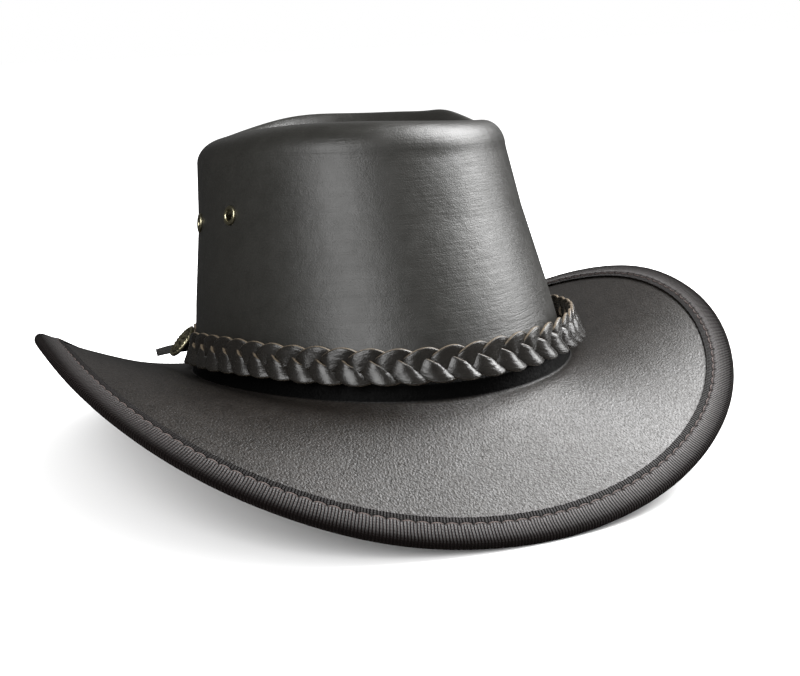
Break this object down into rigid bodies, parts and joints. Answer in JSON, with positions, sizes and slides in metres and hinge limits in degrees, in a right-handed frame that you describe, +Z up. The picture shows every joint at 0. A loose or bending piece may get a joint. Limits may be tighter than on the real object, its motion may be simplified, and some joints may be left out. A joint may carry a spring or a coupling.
{
  "type": "leather hat",
  "caption": "Dark leather outback hat: crown with a sunken top, wide brim curled up at the sides with a bound edge, plaited leather band with a concho.",
  "frame": {"origin": "centre of the bounding box on the resting plane", "axes": "+Z up with the hat resting on the front and back of its brim, the front of the hat towards -Y, the wearer's left towards +X"},
  "size_m": [0.3156, 0.3336, 0.1552],
  "materials": {
    "crown_leather": "smooth oiled leather, soft sheen",
    "brim_leather": "oiled leather, fine mottled grain",
    "ribbon": "ribbed grosgrain, matt",
    "braid_leather": "polished strap leather with raw tan edges",
    "lace_leather": "smooth black leather",
    "concho_brass": "antique, worn relief",
    "eyelet_brass": "antique, rolled lip"
  },
  "bodies": {
    "root": {"crown": "crown_leather", "brim": "brim_leather", "brim_binding": "ribbon", "braid_strand_1": "braid_leather", "braid_strand_2": "braid_leather", "braid_strand_3": "braid_leather", "tie_lace": "lace_leather", "concho": "concho_brass", "eyelet_right_front": "eyelet_brass", "eyelet_right_rear": "eyelet_brass", "eyelet_left_front": "eyelet_brass", "eyelet_left_rear": "eyelet_brass"}
  },
  "joints": []
}
